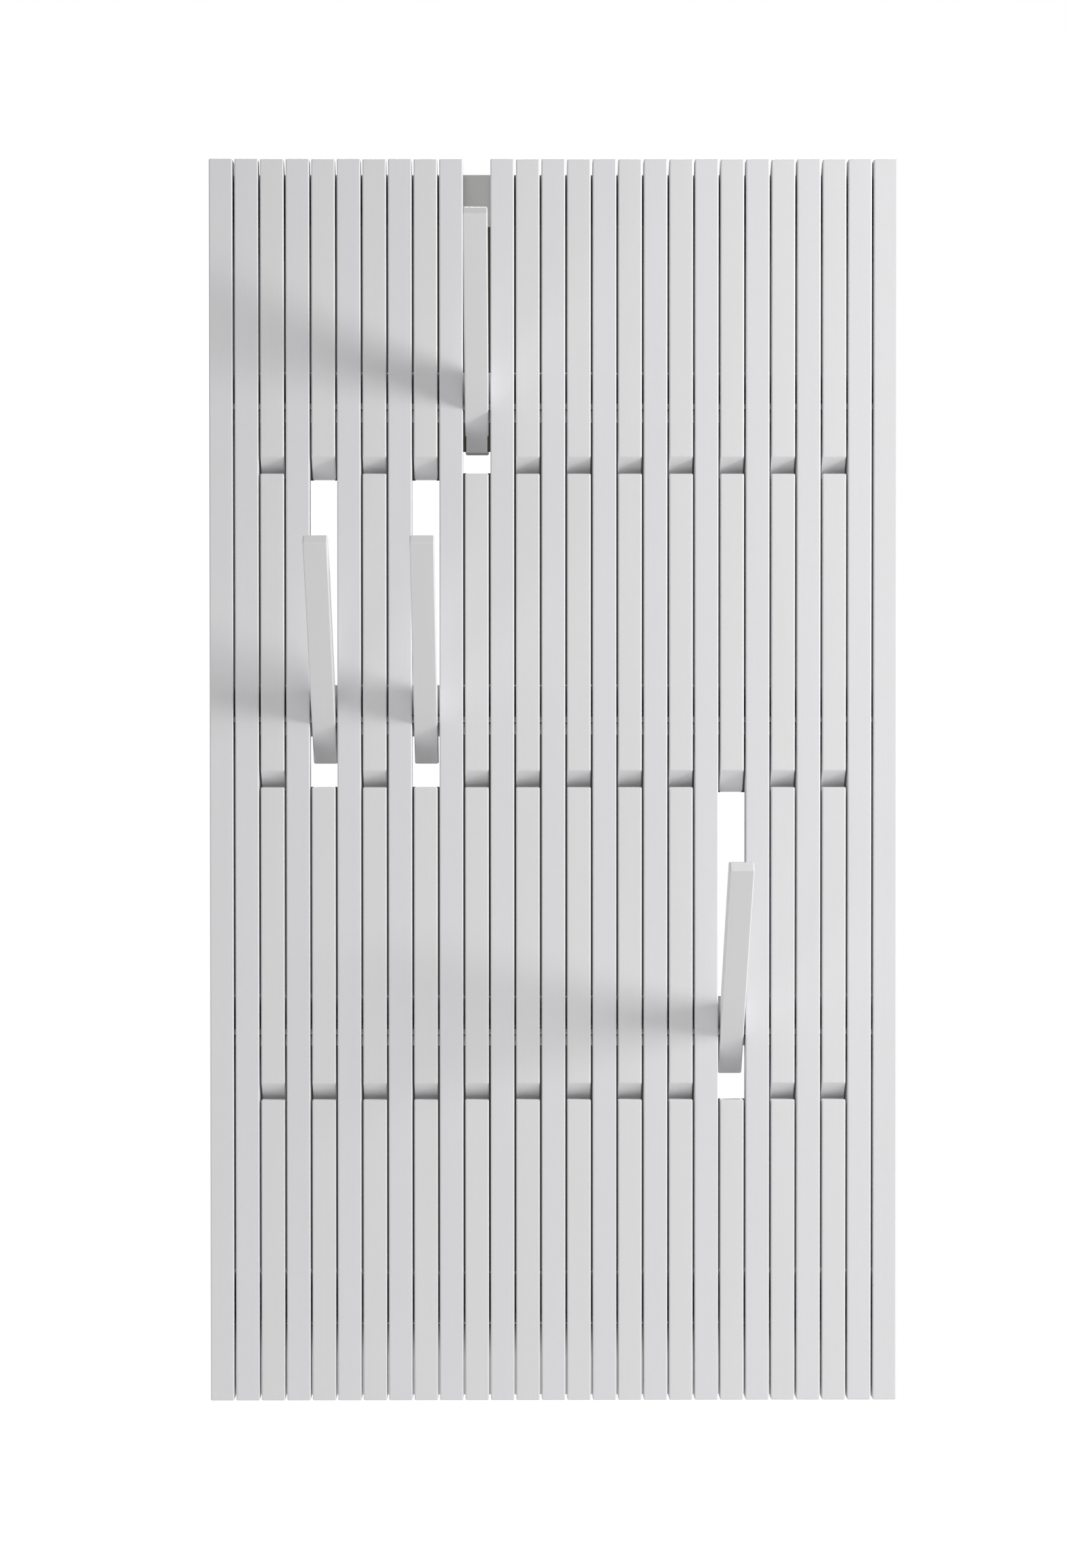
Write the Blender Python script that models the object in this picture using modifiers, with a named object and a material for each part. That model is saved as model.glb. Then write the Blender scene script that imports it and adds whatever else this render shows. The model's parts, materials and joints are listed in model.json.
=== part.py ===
"""Slatted wall coat rack: upright slats on cross rails, with flip-out hook slats turning on steel rods.

Metres, +Z up. The front faces -Y and the wall is the plane y = 0. The origin is the centre of the
hanging batten's back face. Run with blender --background --python part.py, or from the text editor.
"""

import math

import bmesh
import bpy
from mathutils import Matrix

MM = 0.001

# Panel
SLAT_COUNT = 27
SLAT_WIDTH = 27 * MM
SLAT_GAP = 2.3 * MM
SLAT_THICKNESS = 27 * MM
PANEL_HEIGHT = 1425 * MM
PANEL_DEPTH = 85 * MM
EDGE_BEVEL = 1.2 * MM
PITCH = SLAT_WIDTH + SLAT_GAP
CLEARANCE = 0.3 * MM

# Cross rails and the batten that hangs on the wall
RAIL_HEIGHT = 60 * MM
RAIL_THICKNESS = 25 * MM
BATTEN_DROP = 18.6 * MM
TOP_RAIL_DROP = 14.4 * MM
BOTTOM_RAIL_LIFT = 84.5 * MM
TENON = 0.7 * MM

# Hook slats, measured up and down from their pivot
HOOK_COLUMNS = 12
HOOK_ROWS = 3
HOOK_TOP = 282 * MM
HOOK_BOTTOM = 59 * MM
ROW_PITCH = 359.5 * MM
TOP_FLAT = 12.5 * MM
OPEN_ANGLE = math.radians(44)
OPEN_HOOKS = {(1, 5), (2, 2), (2, 4), (3, 10)}

# Pivot rods
ROD_RADIUS = 5 * MM
BORE_RADIUS = 5.3 * MM
ROD_SIDES = 16
ROD_SEAT = 15 * MM
SEAT_END_GAP = 0.4 * MM

# Places worked out from the sizes above
BATTEN_CENTRE = PANEL_HEIGHT - BATTEN_DROP - RAIL_HEIGHT / 2
PANEL_BOTTOM = -BATTEN_CENTRE
PANEL_TOP = PANEL_BOTTOM + PANEL_HEIGHT
FRONT = -PANEL_DEPTH
SLAT_BACK = FRONT + SLAT_THICKNESS
PIVOT_Y = FRONT + SLAT_THICKNESS / 2
LOWER_SLAT_TOP = PANEL_TOP - HOOK_ROWS * ROW_PITCH
RAIL_FRONT = SLAT_BACK + CLEARANCE
RAIL_BACK = RAIL_FRONT + RAIL_THICKNESS
HALF_WIDTH = ((SLAT_COUNT - 1) * PITCH + SLAT_WIDTH) / 2
INSIDE_HALF = HALF_WIDTH - SLAT_WIDTH
RAIL_HALF = INSIDE_HALF - CLEARANCE

LACQUER = (0.84, 0.84, 0.86, 1.0)
HOOK_LACQUER = (0.86, 0.86, 0.85, 1.0)
RAIL_LACQUER = (0.78, 0.77, 0.75, 1.0)
STEEL = (0.46, 0.43, 0.40, 1.0)

# Turns an outline drawn in x and y, extruded along z, into one in Y and Z extruded along X.
OUTLINE_TO_YZ = Matrix(((0, 0, 1, 0), (1, 0, 0, 0), (0, 1, 0, 0), (0, 0, 0, 1)))


def slat_x(number):
    """Middle of slat number 1 to 27, counted from the left."""
    return (number - (SLAT_COUNT + 1) / 2) * PITCH


def pivot_z(row):
    return PANEL_TOP - HOOK_TOP - (row - 1) * ROW_PITCH


def clear_scene():
    for obj in list(bpy.data.objects):
        bpy.data.objects.remove(obj)


def new_collection(name):
    made = bpy.data.collections.new(name)
    bpy.context.scene.collection.children.link(made)
    return made


def new_material(name, colour, roughness, metallic=0.0):
    made = bpy.data.materials.new(name)
    made.use_nodes = True
    shader = made.node_tree.nodes["Principled BSDF"]
    shader.inputs["Base Color"].default_value = colour
    shader.inputs["Roughness"].default_value = roughness
    shader.inputs["Metallic"].default_value = metallic
    return made


def add_object(name, mesh, collection, material=None):
    obj = bpy.data.objects.new(name, mesh)
    collection.objects.link(obj)
    if material and not mesh.materials:
        mesh.materials.append(material)
    return obj


def evaluated_mesh(obj, name):
    """A plain mesh of the object with its modifiers applied."""
    graph = bpy.context.evaluated_depsgraph_get()
    mesh = bpy.data.meshes.new_from_object(obj.evaluated_get(graph))
    mesh.name = name
    return mesh


def outline_mesh(name, outline, width):
    """A closed prism: an outline in Y and Z, extruded to its width along X and centred on x = 0."""
    curve = bpy.data.curves.new(name, "CURVE")
    curve.dimensions = "2D"
    curve.fill_mode = "BOTH"
    curve.extrude = width / 2
    spline = curve.splines.new("POLY")
    spline.points.add(len(outline) - 1)
    for point, (y, z) in zip(spline.points, outline):
        point.co = (y, z, 0, 1)
    spline.use_cyclic_u = True
    holder = bpy.data.objects.new(name, curve)
    bpy.context.scene.collection.objects.link(holder)
    graph = bpy.context.evaluated_depsgraph_get()
    mesh = bpy.data.meshes.new_from_object(holder.evaluated_get(graph))
    bpy.data.objects.remove(holder)
    shape = bmesh.new()
    shape.from_mesh(mesh)
    bmesh.ops.remove_doubles(shape, verts=shape.verts, dist=1e-6)
    bmesh.ops.transform(shape, matrix=OUTLINE_TO_YZ, verts=shape.verts)
    bmesh.ops.recalc_face_normals(shape, faces=shape.faces)
    shape.to_mesh(mesh)
    shape.free()
    mesh.name = name
    return mesh


def box_mesh(name, size, centre=(0, 0, 0)):
    shape = bmesh.new()
    bmesh.ops.create_cube(shape, size=1)
    bmesh.ops.scale(shape, vec=size, verts=shape.verts)
    bmesh.ops.translate(shape, vec=centre, verts=shape.verts)
    mesh = bpy.data.meshes.new(name)
    shape.to_mesh(mesh)
    shape.free()
    return mesh


def rod_mesh(name, radius, length):
    """A round bar along X."""
    shape = bmesh.new()
    bmesh.ops.create_cone(
        shape, cap_ends=True, segments=ROD_SIDES, radius1=radius, radius2=radius, depth=length
    )
    bmesh.ops.rotate(shape, matrix=Matrix.Rotation(math.pi / 2, 3, "Y"), verts=shape.verts)
    mesh = bpy.data.meshes.new(name)
    shape.to_mesh(mesh)
    shape.free()
    return mesh


def add_cutter(name, mesh, cutters):
    obj = add_object(name, mesh, cutters)
    obj.hide_render = True
    obj.display_type = "WIRE"
    return obj


def add_bevel(obj):
    bevel = obj.modifiers.new("edges", "BEVEL")
    bevel.width = EDGE_BEVEL
    bevel.segments = 1
    bevel.limit_method = "ANGLE"
    bevel.angle_limit = math.radians(30)


def add_boolean(obj, cutter, operation="DIFFERENCE"):
    boolean = obj.modifiers.new(cutter.name, "BOOLEAN")
    boolean.operation = operation
    boolean.object = cutter
    boolean.solver = "EXACT"


def hook_outline():
    """Side view about the pivot. The bottom cut and the top's back chamfer lie level when it is open."""
    half = SLAT_THICKNESS / 2
    slope = math.tan(OPEN_ANGLE)
    return [
        (-half, -HOOK_BOTTOM),
        (half, -HOOK_BOTTOM - SLAT_THICKNESS * slope),
        (half, HOOK_TOP - (SLAT_THICKNESS - TOP_FLAT) * slope),
        (-half + TOP_FLAT, HOOK_TOP),
        (-half, HOOK_TOP),
    ]


def bored_hook_mesh(cutters):
    """The hook slat shared by all hooks, with its pivot bore on the X axis through the origin."""
    outline = outline_mesh("hook_blank", hook_outline(), SLAT_WIDTH)
    blank = add_object("hook_blank", outline, cutters)
    bore = add_cutter("hook_bore", rod_mesh("hook_bore", BORE_RADIUS, 2 * SLAT_WIDTH), cutters)
    add_bevel(blank)
    add_boolean(blank, bore)
    mesh = evaluated_mesh(blank, "hook")
    bpy.data.objects.remove(blank)
    return mesh


def make_hooks(mesh, material, collection):
    mesh.materials.clear()
    mesh.materials.append(material)
    for row in range(1, HOOK_ROWS + 1):
        for column in range(1, HOOK_COLUMNS + 1):
            hook = add_object(f"hook_r{row}_c{column:02d}", mesh, collection)
            hook.location = (slat_x(2 * column + 1), PIVOT_Y, pivot_z(row))
            if (row, column) in OPEN_HOOKS:
                hook.rotation_euler = (OPEN_ANGLE, 0, 0)


def full_slat_mesh(cutters):
    """The full-height slat shared by all inner slats, bored for the three rods."""
    centre = (0, (FRONT + SLAT_BACK) / 2, (PANEL_TOP + PANEL_BOTTOM) / 2)
    size = (SLAT_WIDTH, SLAT_THICKNESS, PANEL_HEIGHT)
    blank = add_object("slat_blank", box_mesh("slat_blank", size, centre), cutters)
    add_bevel(blank)
    for row in range(1, HOOK_ROWS + 1):
        name = f"slat_bore_{row}"
        bore = add_cutter(name, rod_mesh(name, BORE_RADIUS, 2 * SLAT_WIDTH), cutters)
        bore.location = (0, PIVOT_Y, pivot_z(row))
        add_boolean(blank, bore)
    mesh = evaluated_mesh(blank, "slat")
    bpy.data.objects.remove(blank)
    return mesh


def make_full_slats(mesh, material, collection):
    mesh.materials.clear()
    mesh.materials.append(material)
    for number in range(2, SLAT_COUNT, 2):
        slat = add_object(f"slat_{number:02d}", mesh, collection)
        slat.location.x = slat_x(number)


def make_cheek(name, side, material, collection, cutters):
    """A deep outer slat that reaches back to the wall, with a blind seat for each rod's end."""
    centre = (side * (HALF_WIDTH - SLAT_WIDTH / 2), FRONT / 2, (PANEL_TOP + PANEL_BOTTOM) / 2)
    size = (SLAT_WIDTH, PANEL_DEPTH, PANEL_HEIGHT)
    cheek = add_object(name, box_mesh(name, size, centre), collection, material)
    add_bevel(cheek)
    for row in range(1, HOOK_ROWS + 1):
        seat_name = f"{name}_seat_{row}"
        seat = add_cutter(seat_name, rod_mesh(seat_name, BORE_RADIUS, 2 * ROD_SEAT), cutters)
        seat.location = (side * INSIDE_HALF, PIVOT_Y, pivot_z(row))
        add_boolean(cheek, seat)


def make_rods(material, collection):
    length = 2 * (INSIDE_HALF + ROD_SEAT - SEAT_END_GAP)
    mesh = rod_mesh("rod", ROD_RADIUS, length)
    mesh.materials.append(material)
    mesh.polygons.foreach_set("use_smooth", [len(face.vertices) == 4 for face in mesh.polygons])
    for row in range(1, HOOK_ROWS + 1):
        rod = add_object(f"rod_{row}", mesh, collection)
        rod.location = (0, PIVOT_Y, pivot_z(row))


def stop_rail_outline():
    """Side view about the pivot. The slanted underside is where an open hook comes to rest."""
    near = RAIL_FRONT - PIVOT_Y
    far = RAIL_BACK - PIVOT_Y
    reach = SLAT_THICKNESS / 2 + CLEARANCE
    near_bottom = (reach - near * math.cos(OPEN_ANGLE)) / math.sin(OPEN_ANGLE)
    far_bottom = (reach - far * math.cos(OPEN_ANGLE)) / math.sin(OPEN_ANGLE)
    top = far_bottom + RAIL_HEIGHT
    return [(near, near_bottom), (far, far_bottom), (far, top), (near, top)]


def make_stop_rails(material, collection):
    mesh = outline_mesh("stop_rail", stop_rail_outline(), 2 * RAIL_HALF)
    mesh.materials.clear()
    mesh.materials.append(material)
    for row in range(1, HOOK_ROWS + 1):
        rail = add_object(f"stop_rail_{row}", mesh, collection)
        rail.location = (0, PIVOT_Y, pivot_z(row))


def make_top_rail(material, collection):
    size = (2 * RAIL_HALF, RAIL_THICKNESS, RAIL_HEIGHT)
    centre = (0, (RAIL_FRONT + RAIL_BACK) / 2, BATTEN_DROP - TOP_RAIL_DROP)
    add_object("top_rail", box_mesh("top_rail", size, centre), collection, material)


def make_batten(material, collection):
    """The hanging batten: its back face lies on the wall, and it fills the depth behind the top rail."""
    front = RAIL_BACK + CLEARANCE
    size = (2 * RAIL_HALF, -front, RAIL_HEIGHT)
    add_object("wall_batten", box_mesh("wall_batten", size, (0, front / 2, 0)), collection, material)


def lower_slat_outline():
    """Side view of a short lower slat, chamfered at its top like a hook, with a shallow tenon behind."""
    back = RAIL_FRONT + TENON
    chamfer_foot = LOWER_SLAT_TOP - (back - FRONT - TOP_FLAT) * math.tan(OPEN_ANGLE)
    return [
        (FRONT, PANEL_BOTTOM),
        (back, PANEL_BOTTOM),
        (back, chamfer_foot),
        (FRONT + TOP_FLAT, LOWER_SLAT_TOP),
        (FRONT, LOWER_SLAT_TOP),
    ]


def make_lower_comb(material, collection, cutters):
    """The bottom rail with the twelve short fixed slats glued to its front."""
    size = (2 * RAIL_HALF, RAIL_THICKNESS, RAIL_HEIGHT)
    centre = (0, (RAIL_FRONT + RAIL_BACK) / 2, PANEL_BOTTOM + BOTTOM_RAIL_LIFT + RAIL_HEIGHT / 2)
    comb = add_object("lower_comb", box_mesh("lower_comb", size, centre), collection, material)
    tooth_mesh = outline_mesh("lower_slat", lower_slat_outline(), SLAT_WIDTH)
    for column in range(1, HOOK_COLUMNS + 1):
        tooth = add_cutter(f"lower_slat_{column:02d}", tooth_mesh, cutters)
        tooth.location.x = slat_x(2 * column + 1)
        add_bevel(tooth)
        add_boolean(comb, tooth, "UNION")


def main():
    clear_scene()
    rack = new_collection("coat_rack_panel")
    cutters = new_collection("cutters")
    lacquer = new_material("slat_lacquer", LACQUER, 0.38)
    hook_lacquer = new_material("hook_lacquer", HOOK_LACQUER, 0.36)
    rail_lacquer = new_material("rail_lacquer", RAIL_LACQUER, 0.5)
    steel = new_material("rod_steel", STEEL, 0.32, 1.0)
    make_hooks(bored_hook_mesh(cutters), hook_lacquer, rack)
    make_full_slats(full_slat_mesh(cutters), lacquer, rack)
    make_cheek("cheek_left", -1, lacquer, rack, cutters)
    make_cheek("cheek_right", 1, lacquer, rack, cutters)
    make_top_rail(rail_lacquer, rack)
    make_stop_rails(rail_lacquer, rack)
    make_lower_comb(lacquer, rack, cutters)
    make_rods(steel, rack)
    make_batten(rail_lacquer, rack)


main()
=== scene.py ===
import json
import math

import bmesh
import bpy
from mathutils import Matrix, Vector


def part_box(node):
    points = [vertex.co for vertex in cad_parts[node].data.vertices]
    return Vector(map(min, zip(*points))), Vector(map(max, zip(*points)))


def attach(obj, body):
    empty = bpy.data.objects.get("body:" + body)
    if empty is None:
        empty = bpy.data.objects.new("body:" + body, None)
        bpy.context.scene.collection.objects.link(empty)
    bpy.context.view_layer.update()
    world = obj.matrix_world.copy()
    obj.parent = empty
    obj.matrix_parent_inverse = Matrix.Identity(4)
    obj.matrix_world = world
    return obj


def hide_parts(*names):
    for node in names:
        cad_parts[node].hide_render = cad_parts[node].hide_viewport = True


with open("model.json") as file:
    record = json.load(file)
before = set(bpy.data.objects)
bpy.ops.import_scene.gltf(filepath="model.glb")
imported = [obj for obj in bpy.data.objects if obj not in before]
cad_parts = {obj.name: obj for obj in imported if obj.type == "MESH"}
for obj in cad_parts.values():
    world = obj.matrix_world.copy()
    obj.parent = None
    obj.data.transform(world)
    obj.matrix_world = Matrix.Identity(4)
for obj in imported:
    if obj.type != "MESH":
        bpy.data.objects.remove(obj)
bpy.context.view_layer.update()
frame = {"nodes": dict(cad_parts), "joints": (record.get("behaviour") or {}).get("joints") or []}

MM = 0.001

# Shape of the finely rounded pieces
EDGE_RADIUS = 1.6 * MM
EDGE_STEPS = 4
ROUND_SIDES = 64
BORE_RADIUS = 5.15 * MM
TOP_FLAT = 12.5 * MM
RAIL_EDGE_RADIUS = 1.0 * MM
TIP_TRIM = 0.3 * MM
BOTTOM_RAIL_LIFT = 84.5 * MM
ROD_CHAMFER = 0.6 * MM
ROD_SEAT_LENGTH = 30 * MM
SCREW_HEAD_RADIUS = 4.2 * MM
SCREW_HEAD_DEPTH = 2.6 * MM
SCREW_RECESS_DEPTH = 1.5 * MM
SCREW_LOBES = 0.25 * MM
SCREW_SIDES = 36
SCREW_SINK = 0.3 * MM
BATTEN_SCREW_STEP = 3

# Painted shade behind the panel: a dim glowing sheet near the wall plane and nearly black glowing
# strips just behind the gaps
SHEET_STANDOFF = 0.5 * MM
SHEET_TOP_DROP = 2 * MM
STRIP_STANDOFF = 0.15 * MM
GAP_LAP = 1.4 * MM
GAP_FOOT = 2 * MM
GAP_FADE = 40 * MM
RAIL_UNDERCUT = 3 * MM
# painted shade seen in the gaps, nearly black; the low tone is painted light below the bottom rail
SHADE_SEEN = (0.040, 0.036, 0.032, 1.0)
SHADE_SEEN_LOW = (0.36, 0.36, 0.36, 1.0)
# painted shade: the dim glow that bounced light finds behind the panel, in place of a wall
SHADE_BOUNCE_GLOW = (0.055, 0.053, 0.050, 1.0)

# Floor and light. The shares scale the ambient light from straight below and straight above.
FLOOR_DROP = 0.5
FLOOR_HALF_WIDTH = 2.6
FLOOR_FRONT = -2.8
FLOOR_BACK = 1.0
AMBIENT = 0.385
AMBIENT_BEHIND = 0.30
AMBIENT_LOW_SHARE = 0.73
AMBIENT_HIGH_SHARE = 1.29
KEY_PLACE = (2.6, -1.25, 0.27)
KEY_TARGET = (0.0, -0.085, -0.25)
KEY_SIZE = (0.4, 1.03)
KEY_POWER = 67.0
FILL_PLACE = (-2.4, -2.4, -1.9)
FILL_TARGET = (-0.2, -0.085, -0.9)
FILL_SIZE = (1.6, 1.2)
FILL_POWER = 13.5
SUN_POWER = 2.0
SUN_SPREAD = math.radians(12)
SUN_SLOPE = 0.5

# Camera: place in metres, turn (yaw, pitch, roll) in degrees, lens in mm
CAMERA_PLACE = (-0.0508, -4.3541, -0.594)
CAMERA_TURN = (-0.374, -0.98, -0.02)
CAMERA_LENS = 85.42

# Layout read from the frame
JOINTS = {joint["child"]: joint for joint in frame["joints"]}
HOOKS = sorted(JOINTS)
SLATS = sorted(name for name in frame["nodes"] if name.startswith("slat_"))
STOP_RAILS = sorted(name for name in frame["nodes"] if name.startswith("stop_rail_"))
RODS = sorted(name for name in frame["nodes"] if name.startswith("rod_"))
OPEN_ANGLE = math.radians(max(abs(limit) for limit in frame["joints"][0]["range_deg"]))
PIVOTS = {name: Vector(joint["pos_m"]) for name, joint in JOINTS.items()}
ROW_HEIGHTS = sorted({round(pivot.z, 5) for pivot in PIVOTS.values()}, reverse=True)
PIVOT_Y = PIVOTS[HOOKS[0]].y
SLAT_LOW, SLAT_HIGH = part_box(SLATS[0])
SLAT_WIDTH = SLAT_HIGH.x - SLAT_LOW.x
SLAT_DEPTH = SLAT_HIGH.y - SLAT_LOW.y
PANEL_TOP = SLAT_HIGH.z
PANEL_BOTTOM = SLAT_LOW.z
FRONT = SLAT_LOW.y


def opens_at_rest(hook):
    """A hook that stands open at rest can only turn back, so its range ends at 0."""
    return JOINTS[hook]["range_deg"][1] <= 0


CLOSED_HOOK = next(name for name in HOOKS if not opens_at_rest(name))
HOOK_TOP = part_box(CLOSED_HOOK)[1].z - PIVOTS[CLOSED_HOOK].z
HOOK_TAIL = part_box(CLOSED_HOOK)[0].z - PIVOTS[CLOSED_HOOK].z
OPEN_TAIL = HOOK_TAIL * math.cos(OPEN_ANGLE) + SLAT_DEPTH / 2 * math.sin(OPEN_ANGLE)
ROW_PITCH = ROW_HEIGHTS[0] - ROW_HEIGHTS[1]


# ---------------------------------------------------------------- materials


# Noise stretches, in waves per metre along X, Y and Z, and colours
LARGEST_SHIFT = (31.0, 17.0, 53.0)
GRAIN = (260.0, 260.0, 7.0)
CLOUD = (9.0, 9.0, 2.2)
ORANGE_PEEL = (620.0, 620.0, 620.0)
FLECK = (150.0, 150.0, 60.0)
DRAWN_SCRATCH = (14.0, 1500.0, 1500.0)
STEEL_STAIN = (30.0, 90.0, 90.0)
ZINC_MOTTLE = (700.0, 700.0, 700.0)
FLOOR_SPECK = (40.0, 40.0, 40.0)
RUBBED_EDGE = (0.66, 0.62, 0.56, 1.0)
ZINC_LIGHT = (0.58, 0.60, 0.62, 1.0)
ZINC_DARK = (0.42, 0.43, 0.43, 1.0)


class Nodes:
    """Small helper that adds and links shader nodes."""

    def __init__(self, name):
        self.material = bpy.data.materials.new(name)
        self.material.use_nodes = True
        self.tree = self.material.node_tree
        self.shader = self.tree.nodes["Principled BSDF"]

    def add(self, kind, inputs=None, **settings):
        node = self.tree.nodes.new(kind)
        for key, value in settings.items():
            setattr(node, key, value)
        for key, value in (inputs or {}).items():
            if isinstance(value, bpy.types.NodeSocket):
                self.tree.links.new(value, node.inputs[key])
            else:
                node.inputs[key].default_value = value
        return node

    def link(self, source, target):
        self.tree.links.new(source, target)

    def local_point(self, stretch):
        """The piece's own coordinates, shifted by its own random amount, then stretched."""
        place = self.add("ShaderNodeAttribute", attribute_name="own_point").outputs["Vector"]
        lucky = self.add("ShaderNodeObjectInfo").outputs["Random"]
        shift = self.add(
            "ShaderNodeVectorMath", {0: LARGEST_SHIFT, "Scale": lucky}, operation="SCALE"
        )
        moved = self.add("ShaderNodeVectorMath", {0: place, 1: shift.outputs[0]}, operation="ADD")
        scaled = self.add(
            "ShaderNodeVectorMath", {0: moved.outputs[0], 1: stretch}, operation="MULTIPLY"
        )
        return scaled.outputs[0]

    def noise(self, stretch, detail=4.0, roughness=0.55):
        inputs = {"Vector": self.local_point(stretch), "Scale": 1.0}
        inputs.update({"Detail": detail, "Roughness": roughness})
        return self.add("ShaderNodeTexNoise", inputs).outputs["Fac"]

    def remap(self, value, low, high, from_low=0.25, from_high=0.75):
        inputs = {"Value": value, "From Min": from_low, "From Max": from_high}
        inputs.update({"To Min": low, "To Max": high})
        return self.add("ShaderNodeMapRange", inputs).outputs["Result"]

    def mix(self, factor, first, second):
        node = self.add("ShaderNodeMix", data_type="RGBA")
        for socket, value in ((0, factor), (6, first), (7, second)):
            if isinstance(value, bpy.types.NodeSocket):
                self.link(value, node.inputs[socket])
            else:
                node.inputs[socket].default_value = value
        return node.outputs[2]

    def math(self, operation, first, second=0.0):
        return self.add("ShaderNodeMath", {0: first, 1: second}, operation=operation).outputs[0]

    def bump(self, height, distance, strength=1.0, normal=None):
        inputs = {"Height": height, "Distance": distance, "Strength": strength}
        if normal is not None:
            inputs["Normal"] = normal
        return self.add("ShaderNodeBump", inputs).outputs["Normal"]


def grey(value, blue=0.0):
    """A grey, a little bluer or, where blue is negative, a little warmer."""
    return (value - blue * 0.3, value - blue * 0.6, value + blue, 1.0)


def lacquer(name, light, dark, roughness=0.36):
    """Satin white lacquer over wood: faint grain, orange peel and thinly rubbed edges."""
    nodes = Nodes(name)
    grain = nodes.noise(GRAIN, detail=6.0)
    cloud = nodes.noise(CLOUD, detail=2.0)
    peel = nodes.noise(ORANGE_PEEL, detail=2.0)
    fleck = nodes.noise(FLECK, detail=3.0)
    tone = nodes.mix(nodes.remap(cloud, 0.0, 1.0), dark, light)
    streak = nodes.remap(grain, 0.0, 0.10, 0.42, 0.80)
    tone = nodes.mix(streak, tone, tuple(0.90 * part for part in dark[:3]) + (1.0,))
    edge = nodes.add("ShaderNodeAttribute", attribute_name="edge").outputs["Fac"]
    rubbed = nodes.math("MULTIPLY", edge, nodes.remap(fleck, 0.0, 0.20, 0.58, 0.80))
    tone = nodes.mix(rubbed, tone, RUBBED_EDGE)
    nodes.link(tone, nodes.shader.inputs["Base Color"])
    gloss = nodes.remap(cloud, roughness - 0.04, roughness + 0.06)
    gloss = nodes.math("ADD", gloss, nodes.math("MULTIPLY", edge, 0.06))
    nodes.link(gloss, nodes.shader.inputs["Roughness"])
    soft = nodes.bump(grain, 0.00005, 0.5)
    nodes.link(nodes.bump(peel, 0.00002, 0.5, soft), nodes.shader.inputs["Normal"])
    nodes.shader.inputs["Specular IOR Level"].default_value = 0.4
    return nodes.material


def drawn_steel(name, colour, roughness):
    """Drawn bar: fine scratches along X, a few darker stains."""
    nodes = Nodes(name)
    scratch = nodes.noise(DRAWN_SCRATCH, detail=5.0)
    stain = nodes.noise(STEEL_STAIN, detail=4.0)
    dull = tuple(0.62 * part for part in colour[:3]) + (1.0,)
    tone = nodes.mix(nodes.remap(stain, 0.0, 0.6), colour, dull)
    nodes.link(tone, nodes.shader.inputs["Base Color"])
    dullness = nodes.remap(scratch, roughness - 0.08, roughness + 0.12)
    nodes.link(dullness, nodes.shader.inputs["Roughness"])
    nodes.link(nodes.bump(scratch, 0.00003, 0.6), nodes.shader.inputs["Normal"])
    nodes.shader.inputs["Metallic"].default_value = 1.0
    return nodes.material


def zinc(name):
    """Zinc-plated screw: cool metal with a mottled passivation."""
    nodes = Nodes(name)
    mottle = nodes.noise(ZINC_MOTTLE, detail=3.0)
    tone = nodes.mix(nodes.remap(mottle, 0.0, 1.0), ZINC_LIGHT, ZINC_DARK)
    nodes.link(tone, nodes.shader.inputs["Base Color"])
    nodes.link(nodes.remap(mottle, 0.28, 0.45), nodes.shader.inputs["Roughness"])
    nodes.link(nodes.bump(mottle, 0.00002, 0.4), nodes.shader.inputs["Normal"])
    nodes.shader.inputs["Metallic"].default_value = 1.0
    return nodes.material


SLAT_LACQUER = lacquer("slat_lacquer_satin", grey(0.815, 0.014), grey(0.80, 0.010))
CHEEK_LACQUER = lacquer("cheek_lacquer_satin", grey(0.81, 0.008), grey(0.80, 0.006))
HOOK_LACQUER = lacquer("hook_lacquer_satin", grey(0.815, 0.005), grey(0.80, 0.003))
# the rails take a darker, warmer and less glossy grey than the slats
RAIL_LACQUER = lacquer("rail_lacquer_thin", grey(0.72, -0.01), grey(0.69, -0.015), 0.5)
STEEL = drawn_steel("rod_drawn_steel", (0.46, 0.43, 0.40, 1.0), 0.32)
ZINC = zinc("screw_zinc")


# ---------------------------------------------------------------- mesh tools


def rounded_prism(name, outline, low_x, high_x, radius=EDGE_RADIUS, steps=EDGE_STEPS):
    """An outline in Y and Z extruded along X, with every edge rounded.

    The rounded strips carry edge = 1, for the material's rubbed edges.
    """
    shape = bmesh.new()
    start = shape.faces.new([shape.verts.new((low_x, y, z)) for y, z in outline])
    grown = bmesh.ops.extrude_face_region(shape, geom=[start])["geom"]
    moved = [item for item in grown if isinstance(item, bmesh.types.BMVert)]
    bmesh.ops.translate(shape, vec=(high_x - low_x, 0, 0), verts=moved)
    bmesh.ops.recalc_face_normals(shape, faces=shape.faces)
    edge = shape.faces.layers.float.new("edge")
    made = bmesh.ops.bevel(
        shape, geom=shape.edges[:], offset=radius, segments=steps, profile=0.5, affect="EDGES"
    )
    for face in made["faces"]:
        face[edge] = 1.0
    for face in shape.faces:
        face.smooth = True
    mesh = bpy.data.meshes.new(name)
    shape.to_mesh(mesh)
    shape.free()
    return mesh


def box_outline(low, high):
    return [(low.y, low.z), (high.y, low.z), (high.y, high.z), (low.y, high.z)]


def keep_own_points(mesh):
    """Stores each point as made, so that the grain follows the piece however it is turned."""
    points = mesh.attributes.new("own_point", "FLOAT_VECTOR", "POINT")
    for vertex in mesh.vertices:
        points.data[vertex.index].vector = vertex.co


def is_rim(edge):
    """An edge between a bar's end, which has many corners, and its side, whose faces have four."""
    first, second = edge.link_faces
    return len(first.verts) != len(second.verts)


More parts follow.
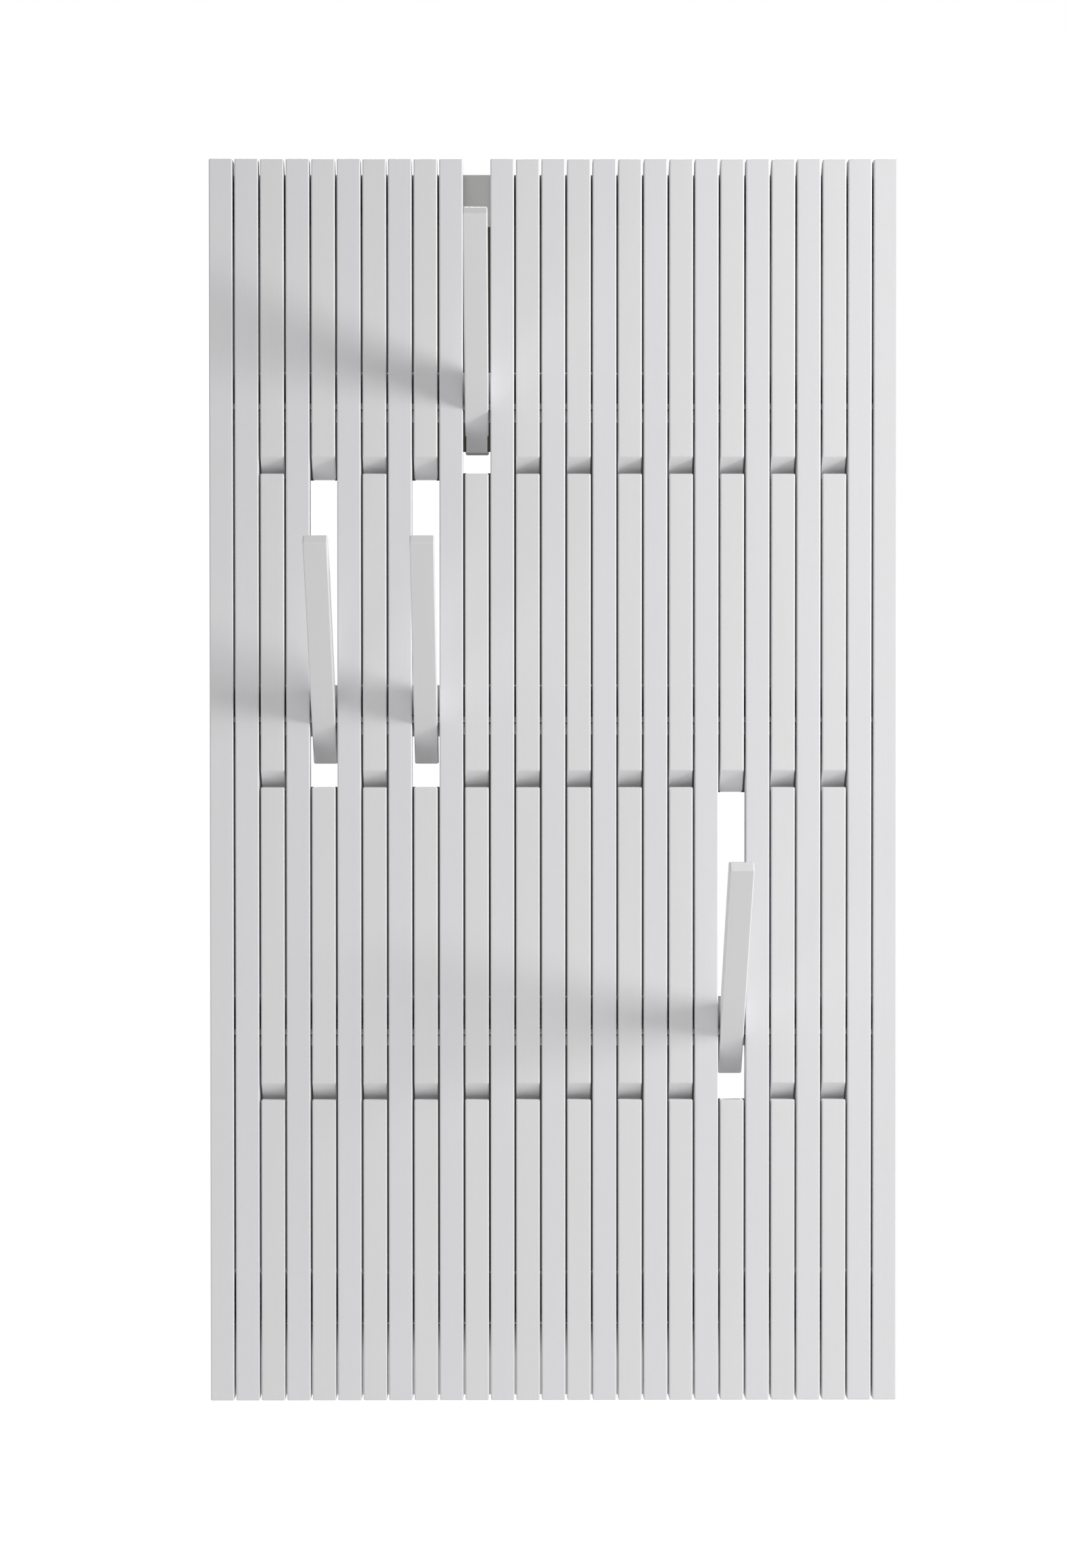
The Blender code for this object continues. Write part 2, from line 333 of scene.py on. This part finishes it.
def round_bar(name, radius, length, chamfer=0.0):
    """A round bar along X, centred on the origin."""
    shape = bmesh.new()
    bmesh.ops.create_cone(
        shape, cap_ends=True, segments=ROUND_SIDES, radius1=radius, radius2=radius, depth=length
    )
    if chamfer:
        rims = [edge for edge in shape.edges if is_rim(edge)]
        bmesh.ops.bevel(shape, geom=rims, offset=chamfer, segments=2, profile=0.5, affect="EDGES")
    bmesh.ops.rotate(shape, matrix=Matrix.Rotation(math.pi / 2, 3, "Y"), verts=shape.verts)
    for face in shape.faces:
        face.smooth = True
    mesh = bpy.data.meshes.new(name)
    shape.to_mesh(mesh)
    shape.free()
    return mesh


def link(name, mesh, material=None):
    """Puts a mesh in the scene. A mesh that has no material yet takes the given one."""
    obj = bpy.data.objects.new(name, mesh)
    bpy.context.scene.collection.objects.link(obj)
    if material is not None and not mesh.materials:
        mesh.materials.append(material)
        if "own_point" not in mesh.attributes:
            keep_own_points(mesh)
    return obj


def cut(mesh, cutters):
    """The mesh with each cutter (mesh, place) removed from it."""
    body = link("cut_body", mesh)
    tools = []
    for number, (cutter, place) in enumerate(cutters):
        tool = link(f"cut_tool_{number}", cutter)
        tool.location = place
        tools.append(tool)
        boolean = body.modifiers.new("cut", "BOOLEAN")
        boolean.solver = "EXACT"
        boolean.object = tool
    bpy.context.view_layer.update()
    graph = bpy.context.evaluated_depsgraph_get()
    made = bpy.data.meshes.new_from_object(body.evaluated_get(graph))
    made.name = mesh.name
    for obj in [body, *tools]:
        bpy.data.objects.remove(obj)
    made.materials.clear()
    return made


def add_piece(name, mesh, material, body, nodes=(), place=(0, 0, 0)):
    """Adds a finished piece, riding on its body and standing for its CAD nodes."""
    obj = link(name, mesh, material)
    obj.location = place
    weighted = obj.modifiers.new("normals", "WEIGHTED_NORMAL")
    weighted.mode = "FACE_AREA"
    weighted.keep_sharp = True
    weighted.weight = 80
    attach(obj, body)
    if nodes:
        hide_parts(*nodes)
    return obj


# ---------------------------------------------------------------- pieces


def hook_outline():
    """Side view about the pivot. The rounded tip keeps inside the solid's chamfered one."""
    half = SLAT_DEPTH / 2
    slope = math.tan(OPEN_ANGLE)
    tip = HOOK_TOP - TIP_TRIM
    return [
        (-half, HOOK_TAIL + SLAT_DEPTH * slope),
        (half, HOOK_TAIL),
        (half, tip - (SLAT_DEPTH - TOP_FLAT) * slope),
        (-half + TOP_FLAT, tip),
        (-half, tip),
    ]


def make_hooks():
    """One bored, rounded hook mesh for the closed hooks, and its turned copy for the open ones."""
    blank = rounded_prism("hook_slat", hook_outline(), -SLAT_WIDTH / 2, SLAT_WIDTH / 2)
    bore = round_bar("hook_bore", BORE_RADIUS, 2 * SLAT_WIDTH)
    closed = cut(blank, [(bore, (0, 0, 0))])
    keep_own_points(closed)
    opened = closed.copy()
    opened.name = "hook_slat_open"
    opened.transform(Matrix.Rotation(OPEN_ANGLE, 4, "X"))
    for name in HOOKS:
        mesh = opened if opens_at_rest(name) else closed
        add_piece(f"{name}_slat", mesh, HOOK_LACQUER, name, [name], PIVOTS[name])


def make_slats():
    """The fixed full-height slats: one mesh, bored for the three rods."""
    low = Vector((-SLAT_WIDTH / 2, SLAT_LOW.y, SLAT_LOW.z))
    high = Vector((SLAT_WIDTH / 2, SLAT_HIGH.y, SLAT_HIGH.z))
    blank = rounded_prism("full_slat", box_outline(low, high), low.x, high.x)
    bore = round_bar("slat_bore", BORE_RADIUS, 2 * SLAT_WIDTH)
    mesh = cut(blank, [(bore, (0, PIVOT_Y, z)) for z in ROW_HEIGHTS])
    for name in SLATS:
        node_low, node_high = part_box(name)
        middle = ((node_low.x + node_high.x) / 2, 0, 0)
        add_piece(f"{name}_upright", mesh, SLAT_LACQUER, "panel", [name], middle)


def make_cheeks():
    """The deep outer slats, with blind seats for the rods in their inner sides."""
    for name, inner in (("cheek_left", 1), ("cheek_right", -1)):
        low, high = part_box(name)
        middle = (low.x + high.x) / 2
        half = (high.x - low.x) / 2
        blank = rounded_prism(name, box_outline(low, high), -half, half)
        seat = round_bar("rod_seat", BORE_RADIUS, ROD_SEAT_LENGTH)
        mesh = cut(blank, [(seat, (inner * half, PIVOT_Y, z)) for z in ROW_HEIGHTS])
        place = (middle, 0, 0)
        add_piece(f"{name}_upright", mesh, CHEEK_LACQUER, "panel", [name], place)


def make_rods():
    """The round bars that the hooks turn on."""
    for name in RODS:
        low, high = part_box(name)
        mesh = round_bar(f"{name}_bar", (high.z - low.z) / 2, high.x - low.x, ROD_CHAMFER)
        add_piece(f"{name}_bar", mesh, STEEL, "panel", [name], (low + high) / 2)


def screw_ring(shape, radius, y, lobes=0.0):
    """A ring of points about the Y axis, drawn in at six places where lobes is given."""
    ring = []
    for step in range(SCREW_SIDES):
        angle = 2 * math.pi * step / SCREW_SIDES
        reach = radius + lobes * math.cos(6 * angle)
        ring.append(shape.verts.new((reach * math.cos(angle), y, reach * math.sin(angle))))
    return ring


def screw_head(shape, x, y, z):
    """A countersunk head facing +Y with a six-lobed recess, its top at the given point."""
    start = len(shape.verts)
    rings = [
        screw_ring(shape, 0.50 * SCREW_HEAD_RADIUS, -SCREW_HEAD_DEPTH),
        screw_ring(shape, SCREW_HEAD_RADIUS, -0.3 * MM),
        screw_ring(shape, 0.97 * SCREW_HEAD_RADIUS, 0),
        screw_ring(shape, 0.46 * SCREW_HEAD_RADIUS, 0, SCREW_LOBES),
        screw_ring(shape, 0.42 * SCREW_HEAD_RADIUS, -SCREW_RECESS_DEPTH, SCREW_LOBES),
    ]
    for outer, inner in zip(rings, rings[1:]):
        for step in range(SCREW_SIDES):
            after = (step + 1) % SCREW_SIDES
            shape.faces.new((outer[step], outer[after], inner[after], inner[step]))
    shape.faces.new(rings[0])
    shape.faces.new(rings[-1])
    shape.verts.ensure_lookup_table()
    bmesh.ops.translate(shape, vec=(x, y, z), verts=shape.verts[start:])


def add_screws(name, points, y):
    """The row of screws in one rail, their heads just under its back face."""
    shape = bmesh.new()
    for x, z in points:
        screw_head(shape, x, y - SCREW_SINK, z)
    bmesh.ops.recalc_face_normals(shape, faces=shape.faces)
    mesh = bpy.data.meshes.new(name)
    shape.to_mesh(mesh)
    shape.free()
    obj = link(name, mesh, ZINC)
    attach(obj, "panel")


def countersink():
    """The hole that a screw head sits in: a cone along Y, wide at y = 0."""
    shape = bmesh.new()
    wide = SCREW_HEAD_RADIUS + 0.3 * MM
    radii = {"radius1": 1.2 * wide, "radius2": 0.42 * wide}
    bmesh.ops.create_cone(shape, cap_ends=True, segments=SCREW_SIDES, depth=4 * MM, **radii)
    bmesh.ops.rotate(shape, matrix=Matrix.Rotation(math.pi / 2, 3, "X"), verts=shape.verts)
    bmesh.ops.translate(shape, vec=(0, -1.2 * MM, 0), verts=shape.verts)
    bmesh.ops.recalc_face_normals(shape, faces=shape.faces)
    mesh = bpy.data.meshes.new("countersink")
    shape.to_mesh(mesh)
    shape.free()
    return mesh


def add_rail(name, outline, low, high, nodes, screws):
    """A cross rail with a countersunk screw through its back at each given x and z."""
    blank = rounded_prism(name, outline, low.x, high.x, RAIL_EDGE_RADIUS, 3)
    back = high.y
    mesh = cut(blank, [(countersink(), (x, back, z)) for x, z in screws])
    add_piece(name, mesh, RAIL_LACQUER, "panel", nodes)
    add_screws(f"{name}_screws", screws, back)


def slat_middles():
    """The middle of each fixed full-height slat, along X."""
    return [(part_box(name)[0].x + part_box(name)[1].x) / 2 for name in SLATS]


def hook_columns():
    """The middle of each column of hooks, along X."""
    return sorted({round(pivot.x, 5) for pivot in PIVOTS.values()})


def make_rails():
    """The top rail, the batten that hangs on the wall, and the slant-footed stop rails."""
    middles = slat_middles()
    low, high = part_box("top_rail")
    mesh = rounded_prism("top_rail_bar", box_outline(low, high), low.x, high.x, RAIL_EDGE_RADIUS, 3)
    add_piece("top_rail_bar", mesh, RAIL_LACQUER, "panel", ["top_rail"])
    low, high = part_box("wall_batten")
    screws = [(x, (low.z + high.z) / 2) for x in middles[::BATTEN_SCREW_STEP]]
    add_rail("wall_batten_bar", box_outline(low, high), low, high, ["wall_batten"], screws)
    for name in STOP_RAILS:
        low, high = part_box(name)
        run = (high.y - low.y) / math.tan(OPEN_ANGLE)
        outline = [(low.y, low.z + run), (high.y, low.z), (high.y, high.z), (low.y, high.z)]
        screws = [(x, (low.z + high.z) / 2) for x in middles]
        add_rail(f"{name}_bar", outline, low, high, [name], screws)


def bottom_rail_heights():
    """The bottom rail is as tall as the top one."""
    low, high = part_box("top_rail")
    foot = PANEL_BOTTOM + BOTTOM_RAIL_LIFT
    return foot, foot + high.z - low.z


def make_lower_slats():
    """The short fixed slats and the rail behind them, together standing for one CAD solid."""
    low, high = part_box("lower_comb")
    foot_z, top_z = bottom_rail_heights()
    rail_low = Vector((low.x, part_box("top_rail")[0].y, foot_z))
    rail_high = Vector((high.x, high.y, top_z))
    columns = hook_columns()
    screws = [(x, (foot_z + top_z) / 2) for x in sorted(slat_middles() + columns)]
    add_rail("bottom_rail_bar", box_outline(rail_low, rail_high), low, high, ["lower_comb"], screws)
    back = SLAT_HIGH.y
    foot = high.z - (SLAT_DEPTH - TOP_FLAT) * math.tan(OPEN_ANGLE)
    outline = [
        (FRONT, low.z),
        (back, low.z),
        (back, foot),
        (FRONT + TOP_FLAT, high.z),
        (FRONT, high.z),
    ]
    mesh = rounded_prism("lower_slat", outline, -SLAT_WIDTH / 2, SLAT_WIDTH / 2)
    for number, x in enumerate(columns, 1):
        name = f"lower_slat_{number:02d}"
        add_piece(name, mesh, HOOK_LACQUER, "panel", place=(x, 0, 0))


# ---------------------------------------------------------------- stage, light and camera


def make_floor():
    """A pale floor below the hanging panel."""
    level = PANEL_BOTTOM - FLOOR_DROP
    wide = FLOOR_HALF_WIDTH
    corners = [(-wide, FLOOR_FRONT), (wide, FLOOR_FRONT), (wide, FLOOR_BACK), (-wide, FLOOR_BACK)]
    mesh = bpy.data.meshes.new("floor")
    mesh.from_pydata([(x, y, level) for x, y in corners], [], [(0, 1, 2, 3)])
    nodes = Nodes("floor_pale")
    speck = nodes.noise(FLOOR_SPECK)
    tone = nodes.mix(nodes.remap(speck, 0.0, 1.0), grey(0.86), grey(0.84))
    nodes.link(tone, nodes.shader.inputs["Base Color"])
    nodes.shader.inputs["Roughness"].default_value = 0.7
    link("floor", mesh, nodes.material)


def sheet(name, rectangles, y, material):
    """Upright rectangles (low x, high x, low z, high z) facing the front, all at one depth."""
    points, faces = [], []
    for x0, x1, z0, z1 in rectangles:
        start = len(points)
        points += [(x0, y, z0), (x1, y, z0), (x1, y, z1), (x0, y, z1)]
        faces.append((start, start + 1, start + 2, start + 3))
    mesh = bpy.data.meshes.new(name)
    mesh.from_pydata(points, [], faces)
    link(name, mesh, material)


def shade_nodes(name):
    """Starts a material that only rays from the panel's side meet, and that casts no shadow."""
    nodes = Nodes(name)
    path = nodes.add("ShaderNodeLightPath")
    surface = nodes.add("ShaderNodeNewGeometry")
    front = nodes.math("SUBTRACT", 1.0, surface.outputs["Backfacing"])
    met = nodes.math("MULTIPLY", front, nodes.math("SUBTRACT", 1.0, path.outputs["Is Shadow Ray"]))
    return nodes, met, path.outputs["Is Camera Ray"]


def finish_shade(nodes, met, tone):
    """The glow in the given tone where met is 1, and nothing at all where it is 0."""
    glow = nodes.add("ShaderNodeEmission", {"Color": tone})
    clear = nodes.add("ShaderNodeBsdfTransparent")
    both = nodes.add("ShaderNodeMixShader", {0: met, 1: clear.outputs[0], 2: glow.outputs[0]})
    nodes.link(both.outputs[0], nodes.tree.nodes["Material Output"].inputs["Surface"])
    return nodes.material


def bounce_shade():
    """Painted shade: a dim glowing sheet standing in for the wall that bounced light finds behind
    the panel. The eye looks through it.
    """
    nodes, met, eye = shade_nodes("shade_bounce")
    bounced = nodes.math("MULTIPLY", met, nodes.math("SUBTRACT", 1.0, eye))
    return finish_shade(nodes, bounced, SHADE_BOUNCE_GLOW)


def gap_shade():
    """Painted shade that the eye finds in the narrow gaps: a nearly black glow, with painted light
    making it lighter below the bottom rail.
    """
    nodes, met, eye = shade_nodes("shade_gap")
    place = nodes.add("ShaderNodeNewGeometry").outputs["Position"]
    height = nodes.add("ShaderNodeSeparateXYZ", {0: place}).outputs["Z"]
    rail_foot = PANEL_BOTTOM + BOTTOM_RAIL_LIFT
    # painted light: the gap strips glow lighter below the bottom rail's foot
    lit = nodes.remap(height, 1.0, 0.0, rail_foot - GAP_FADE, rail_foot)
    tone = nodes.mix(lit, SHADE_SEEN, SHADE_SEEN_LOW)
    return finish_shade(nodes, nodes.math("MULTIPLY", met, eye), tone)


def at_slat_backs(y, z):
    """The height at the slats' backs in line with a point and the place it is looked at from."""
    eye = Vector(CAMERA_PLACE)
    return eye.z + (z - eye.z) * (SLAT_HIGH.y - eye.y) / (y - eye.y)


def open_span(pivot):
    """The heights at which the slot left by a hook is open, finger gap included.

    In the top row the leaning hook hides its slot, so only the part under its tail counts.
    """
    next_top = pivot.z - (ROW_PITCH - HOOK_TOP)
    low = max(at_slat_backs(FRONT, next_top), at_slat_backs(FRONT + TOP_FLAT, next_top))
    if pivot.z > ROW_HEIGHTS[0] - ROW_PITCH / 2:
        return low, pivot.z + OPEN_TAIL
    return low, pivot.z + ROW_PITCH + HOOK_TAIL


def shaded_spans(x):
    """The heights between which the gap at x is backed by painted shade: not at a rail or an open
    slot.
    """
    rails = [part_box(name) for name in STOP_RAILS]
    holes = [(low.z + RAIL_UNDERCUT, high.z) for low, high in rails]
    holes += [bottom_rail_heights(), (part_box("top_rail")[0].z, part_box("top_rail")[1].z)]
    for pivot in (PIVOTS[name] for name in HOOKS if opens_at_rest(name)):
        if abs(pivot.x - x) < SLAT_WIDTH:
            holes.append(open_span(pivot))
    spans = []
    level = PANEL_BOTTOM + GAP_FOOT
    for low, high in sorted(holes):
        if low > level:
            spans.append((level, low))
        level = max(level, high)
    return spans


def make_shade():
    """Painted shade: a dim glowing sheet by the wall plane for bounced light, and a nearly black
    glowing strip behind each gap for the eye.
    """
    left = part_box("cheek_left")[1].x
    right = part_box("cheek_right")[0].x
    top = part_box("top_rail")[1].z - SHEET_TOP_DROP
    whole = (left, right, PANEL_BOTTOM, top)
    sheet("shade_bounce", [whole], -SHEET_STANDOFF, bounce_shade())
    middles = sorted(slat_middles() + hook_columns())
    half_pitch = (middles[1] - middles[0]) / 2
    half = half_pitch - SLAT_WIDTH / 2 + GAP_LAP
    strips = []
    for x in [middles[0] - half_pitch] + [middle + half_pitch for middle in middles]:
        strips += [(x - half, x + half, low, high) for low, high in shaded_spans(x)]
    sheet("shade_gaps", strips, SLAT_HIGH.y + STRIP_STANDOFF, gap_shade())


def make_world():
    """White to the eye. As a light it is soft, stronger from above and dimmer from behind."""
    world = bpy.data.worlds.new("studio")
    bpy.context.scene.world = world
    world.use_nodes = True
    world.cycles.sampling_method = "NONE"
    tree = world.node_tree
    tree.nodes.clear()
    link_up = tree.links.new
    way = tree.nodes.new("ShaderNodeTexCoord")
    split = tree.nodes.new("ShaderNodeSeparateXYZ")
    link_up(way.outputs["Generated"], split.inputs[0])
    ramps = []
    for axis, low, high, at_low, at_high in (
        ("Y", -0.05, 0.5, AMBIENT, AMBIENT_BEHIND),
        ("Z", -1.0, 1.0, AMBIENT_LOW_SHARE, AMBIENT_HIGH_SHARE),
    ):
        ramp = tree.nodes.new("ShaderNodeMapRange")
        ramp.inputs["From Min"].default_value = low
        ramp.inputs["From Max"].default_value = high
        ramp.inputs["To Min"].default_value = at_low
        ramp.inputs["To Max"].default_value = at_high
        link_up(split.outputs[axis], ramp.inputs["Value"])
        ramps.append(ramp.outputs["Result"])
    strength = tree.nodes.new("ShaderNodeMath")
    strength.operation = "MULTIPLY"
    link_up(ramps[0], strength.inputs[0])
    link_up(ramps[1], strength.inputs[1])
    felt = tree.nodes.new("ShaderNodeBackground")
    felt.inputs["Color"].default_value = (1.0, 0.995, 1.0, 1)
    link_up(strength.outputs[0], felt.inputs["Strength"])
    seen = tree.nodes.new("ShaderNodeBackground")
    seen.inputs["Color"].default_value = (1, 1, 1, 1)
    path = tree.nodes.new("ShaderNodeLightPath")
    mix = tree.nodes.new("ShaderNodeMixShader")
    out = tree.nodes.new("ShaderNodeOutputWorld")
    link_up(path.outputs["Is Camera Ray"], mix.inputs[0])
    link_up(felt.outputs[0], mix.inputs[1])
    link_up(seen.outputs[0], mix.inputs[2])
    link_up(mix.outputs[0], out.inputs["Surface"])


def area_light(name, place, target, size_x, size_y, power):
    """A rectangular light that faces its target and isn't seen itself."""
    light = bpy.data.lights.new(name, "AREA")
    light.shape = "RECTANGLE"
    light.size = size_x
    light.size_y = size_y
    light.energy = power
    obj = bpy.data.objects.new(name, light)
    bpy.context.scene.collection.objects.link(obj)
    obj.location = place
    obj.rotation_euler = (Vector(target) - Vector(place)).to_track_quat("-Z", "Y").to_euler()
    obj.visible_camera = False


def make_lights():
    """A long key light from the right, a low fill from the left, and a sun on the panel's back."""
    area_light("key_right", KEY_PLACE, KEY_TARGET, *KEY_SIZE, KEY_POWER)
    area_light("fill_left", FILL_PLACE, FILL_TARGET, *FILL_SIZE, FILL_POWER)
    sun = bpy.data.lights.new("sun_behind", "SUN")
    sun.energy = SUN_POWER
    sun.angle = SUN_SPREAD
    obj = bpy.data.objects.new("sun_behind", sun)
    bpy.context.scene.collection.objects.link(obj)
    way = Vector((0, -math.cos(SUN_SLOPE), -math.sin(SUN_SLOPE)))
    obj.rotation_euler = way.to_track_quat("-Z", "Y").to_euler()


def make_camera():
    """Nearly square on, a little above the middle, from about 4.4 m in front."""
    data = bpy.data.cameras.new("camera")
    data.sensor_width = 36
    data.lens = CAMERA_LENS
    data.clip_start = 0.1
    data.clip_end = 50
    camera = bpy.data.objects.new("camera", data)
    bpy.context.scene.collection.objects.link(camera)
    yaw, pitch, roll = (math.radians(angle) for angle in CAMERA_TURN)
    camera.matrix_world = (
        Matrix.Translation(CAMERA_PLACE)
        @ Matrix.Rotation(yaw, 4, "Z")
        @ Matrix.Rotation(math.pi / 2 + pitch, 4, "X")
        @ Matrix.Rotation(roll, 4, "Z")
    )
    bpy.context.scene.camera = camera


make_hooks()
make_slats()
make_cheeks()
make_rods()
make_rails()
make_lower_slats()
make_floor()
make_shade()
make_world()
make_lights()
make_camera()
bpy.context.scene.view_settings.view_transform = "Standard"
bpy.context.scene.view_settings.look = "None"
